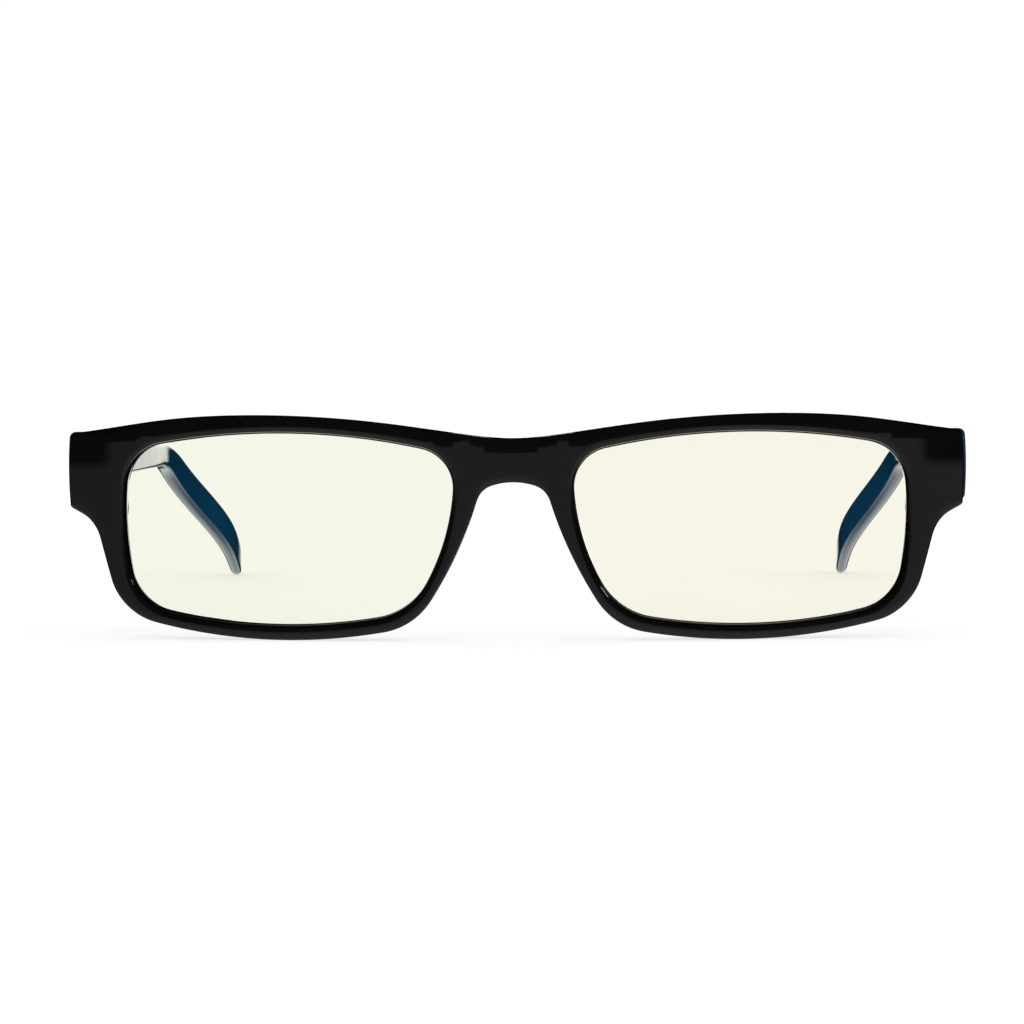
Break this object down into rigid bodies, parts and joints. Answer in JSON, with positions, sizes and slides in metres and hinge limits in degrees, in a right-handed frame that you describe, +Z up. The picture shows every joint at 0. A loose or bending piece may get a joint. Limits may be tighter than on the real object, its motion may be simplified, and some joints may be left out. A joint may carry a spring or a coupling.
{
  "type": "blue light glasses",
  "caption": "Plastic-framed blue light glasses with pale tinted plano lenses and two folding temples on sprung hinges.",
  "frame": {"origin": "on the surface the open glasses stand on, in the middle of their width and length", "axes": "+X to the wearer's left, +Y back along the temples, +Z up"},
  "size_m": [0.1414, 0.1462, 0.0349],
  "materials": {
    "front_plastic": "polished black moulding",
    "temple_plastic": "polished dark navy moulding",
    "lens": "clear with a pale cream tint and a hard coating",
    "hinge_metal": "nickel plated, satin",
    "screw_metal": "turned and plated",
    "spring_steel": "drawn wire"
  },
  "bodies": {
    "front": {"front_frame": "front_plastic", "lens_right": "lens", "lens_left": "lens", "hinge_front_leaf_right": "hinge_metal", "hinge_screw_right": "screw_metal", "hinge_front_leaf_left": "hinge_metal", "hinge_screw_left": "screw_metal"},
    "tongue_right": {"hinge_tongue_right": "hinge_metal", "spring_stop_right": "hinge_metal"},
    "temple_right": {"temple_right": "temple_plastic", "spring_case_right": "hinge_metal", "coil_spring_right": "spring_steel"},
    "tongue_left": {"hinge_tongue_left": "hinge_metal", "spring_stop_left": "hinge_metal"},
    "temple_left": {"temple_left": "temple_plastic", "spring_case_left": "hinge_metal", "coil_spring_left": "spring_steel"}
  },
  "joints": [
    {"name": "temple_fold_right", "type": "hinge", "parent": "front", "child": "tongue_right", "pos_m": [-0.0647, -0.0585, 0.0265], "axis": [0, 0, -1], "range_deg": [0, 88]},
    {"name": "hinge_spring_right", "type": "slide", "parent": "tongue_right", "child": "temple_right", "axis": [0, 1, 0], "range_m": [0, 0.001], "stiffness_N_per_m": 2000, "springref_m": -0.0005, "deforming": ["coil_spring_right"]},
    {"name": "temple_fold_left", "type": "hinge", "parent": "front", "child": "tongue_left", "pos_m": [0.0647, -0.0585, 0.0265], "axis": [0, 0, 1], "range_deg": [0, 78]},
    {"name": "hinge_spring_left", "type": "slide", "parent": "tongue_left", "child": "temple_left", "axis": [0, 1, 0], "range_m": [0, 0.001], "stiffness_N_per_m": 2000, "springref_m": -0.0005, "deforming": ["coil_spring_left"]}
  ]
}
